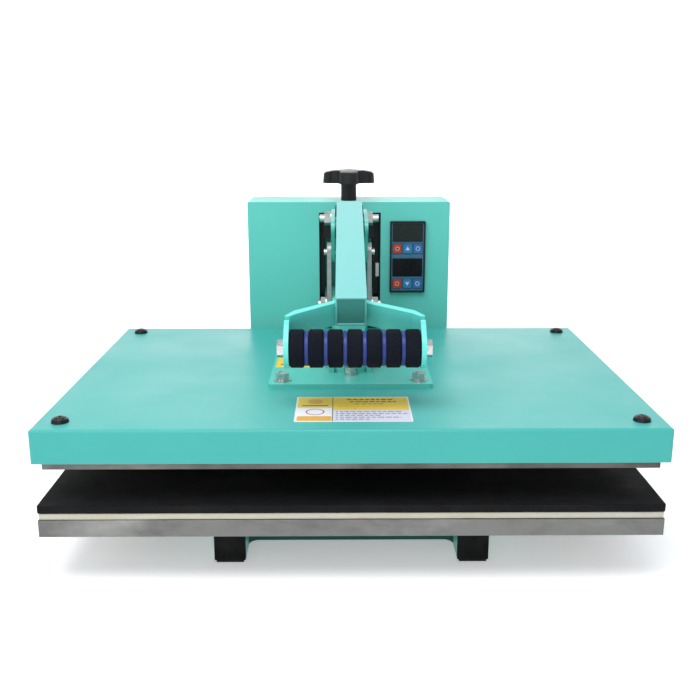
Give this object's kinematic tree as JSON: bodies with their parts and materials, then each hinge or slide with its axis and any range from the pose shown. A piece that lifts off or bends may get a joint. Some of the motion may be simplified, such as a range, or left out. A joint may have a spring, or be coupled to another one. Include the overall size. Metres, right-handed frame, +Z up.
{
  "type": "heat press",
  "caption": "Clamshell heat press: toggle lever and arm over a large heated platen, padded lower table, height screw and a digital control box.",
  "frame": {"origin": "on the bench, under the middle of the machine's outline", "axes": "+X to the operator's right, +Y to the back, +Z up"},
  "size_m": [0.614, 0.55, 0.3722],
  "materials": {
    "mint_paint": "glossy mint enamel on folded sheet",
    "green_paint": "glossy green enamel on welded steel",
    "dark_paint": "black enamel on welded steel",
    "aluminium": "brushed, smudged",
    "zinc_steel": "bright zinc plate",
    "grey_steel": "plain grey steel",
    "element_steel": "heat-stained",
    "black_plastic": "moulded black plastic",
    "black_screw": "blackened steel",
    "foot_rubber": "matt rubber",
    "silicone": "matt black silicone foam",
    "felt": "cream felt",
    "insulation": "ceramic fibre blanket",
    "foam": "black foam",
    "blue_spacer": "blue plastic",
    "panel_blue": "printed faceplate film",
    "display_grey": "dark grey display window",
    "display_black": "black display window",
    "key_red": "moulded red key",
    "key_pale": "moulded pale blue key",
    "key_blue": "moulded blue key",
    "rocker_red": "red rocker",
    "relay_plastic": "off-white plastic"
  },
  "bodies": {
    "base": {"rail_left": "green_paint", "rail_right": "green_paint", "cross_front": "green_paint", "cross_rear": "green_paint", "rail_plugs": "black_plastic", "foot_pads": "foot_rubber", "rear_base_plate": "green_paint", "lower_table": "aluminium", "table_felt": "felt", "press_pad": "silicone", "upright_left": "dark_paint", "upright_right": "dark_paint", "bridge_plate": "dark_paint", "upright_bolts": "zinc_steel", "control_box": "mint_paint", "box_back_panel": "mint_paint", "box_panel_screws": "zinc_steel", "box_electrics": "relay_plastic", "controller_bezel": "black_plastic", "controller_panel": "panel_blue", "upper_display": "display_grey", "lower_display": "display_black", "switch_frame": "black_plastic", "mains_inlet": "black_plastic", "fuse_holder": "black_plastic", "box_lead_gland": "black_plastic"},
    "key_red_upper": {"key_red_upper": "key_red"},
    "key_pale_upper": {"key_pale_upper": "key_pale"},
    "key_blue_upper": {"key_blue_upper": "key_blue"},
    "key_red_lower": {"key_red_lower": "key_red"},
    "key_pale_lower": {"key_pale_lower": "key_pale"},
    "key_blue_lower": {"key_blue_lower": "key_blue"},
    "switch_rocker": {"switch_rocker": "rocker_red"},
    "pressure_knob": {"pressure_knob": "black_plastic", "pressure_screw": "zinc_steel"},
    "carriage": {"head_carriage": "dark_paint", "arm_hinge_pin": "zinc_steel"},
    "lever": {"lever_tube": "mint_paint", "crank_plates": "green_paint", "lever_pins": "zinc_steel", "handle_yoke": "mint_paint", "handle_axle": "zinc_steel"},
    "grip": {"grip_core": "zinc_steel", "grip_foam": "foam", "grip_spacers": "blue_spacer"},
    "links": {"toggle_links": "grey_steel"},
    "arm": {"arm_tube": "green_paint", "arm_ears": "green_paint", "arm_barrel": "green_paint", "toggle_lower_bolts": "zinc_steel"},
    "platen": {"platen_clevis": "green_paint", "clevis_pin": "zinc_steel", "cover_bolts": "zinc_steel", "heater_cover": "mint_paint", "cover_screws": "black_screw", "heating_platen": "aluminium", "heater_element": "element_steel", "heater_insulation": "insulation", "cover_posts": "zinc_steel", "cover_lead_gland": "black_plastic"}
  },
  "joints": [
    {"name": "carriage_slide", "type": "slide", "parent": "base", "child": "carriage", "axis": [0, 0, 1], "range_m": [-0.027, 0]},
    {"name": "knob_turn", "type": "hinge", "parent": "base", "child": "pressure_knob", "pos_m": [0, 0.19, 0.354], "axis": [0, 0, 1], "range_deg": [0, 2435]},
    {"name": "arm_hinge", "type": "hinge", "parent": "carriage", "child": "arm", "pos_m": [0, 0.225, 0.186], "axis": [-1, 0, 0], "range_deg": [0, 19.5]},
    {"name": "lever_hinge", "type": "hinge", "parent": "carriage", "child": "lever", "pos_m": [0, 0.115, 0.314], "axis": [-1, 0, 0], "range_deg": [0, 56.1]},
    {"name": "link_hinge", "type": "hinge", "parent": "lever", "child": "links", "pos_m": [0, 0.08, 0.275], "axis": [-1, 0, 0], "range_deg": [-86.3, 0]},
    {"name": "platen_float", "type": "hinge", "parent": "arm", "child": "platen", "pos_m": [0, -0.071, 0.186], "axis": [1, 0, 0], "range_deg": [-0.8, 0.8]},
    {"name": "grip_spin", "type": "hinge", "parent": "lever", "child": "grip", "pos_m": [0.0035, -0.204, 0.2205], "axis": [1, 0, 0], "continuous": true},
    {"name": "key_red_upper_press", "type": "slide", "parent": "base", "child": "key_red_upper", "axis": [0, 1, 0], "range_m": [0, 0.0012], "stiffness_N_per_m": 400, "springref_m": -0.0008},
    {"name": "key_pale_upper_press", "type": "slide", "parent": "base", "child": "key_pale_upper", "axis": [0, 1, 0], "range_m": [0, 0.0012], "stiffness_N_per_m": 400, "springref_m": -0.0008},
    {"name": "key_blue_upper_press", "type": "slide", "parent": "base", "child": "key_blue_upper", "axis": [0, 1, 0], "range_m": [0, 0.0012], "stiffness_N_per_m": 400, "springref_m": -0.0008},
    {"name": "key_red_lower_press", "type": "slide", "parent": "base", "child": "key_red_lower", "axis": [0, 1, 0], "range_m": [0, 0.0012], "stiffness_N_per_m": 400, "springref_m": -0.0008},
    {"name": "key_pale_lower_press", "type": "slide", "parent": "base", "child": "key_pale_lower", "axis": [0, 1, 0], "range_m": [0, 0.0012], "stiffness_N_per_m": 400, "springref_m": -0.0008},
    {"name": "key_blue_lower_press", "type": "slide", "parent": "base", "child": "key_blue_lower", "axis": [0, 1, 0], "range_m": [0, 0.0012], "stiffness_N_per_m": 400, "springref_m": -0.0008},
    {"name": "switch_tilt", "type": "hinge", "parent": "base", "child": "switch_rocker", "pos_m": [-0.09, 0.259, 0.175], "axis": [1, 0, 0], "range_deg": [0, 16]}
  ],
  "couplings": [
    {"joint": "knob_turn", "follows": "carriage_slide", "rad_per_m": -1570.8},
    {"joint": "lever_hinge", "follows": "arm_hinge", "ratio": 2.8721},
    {"joint": "link_hinge", "follows": "arm_hinge", "ratio": -4.4192}
  ]
}
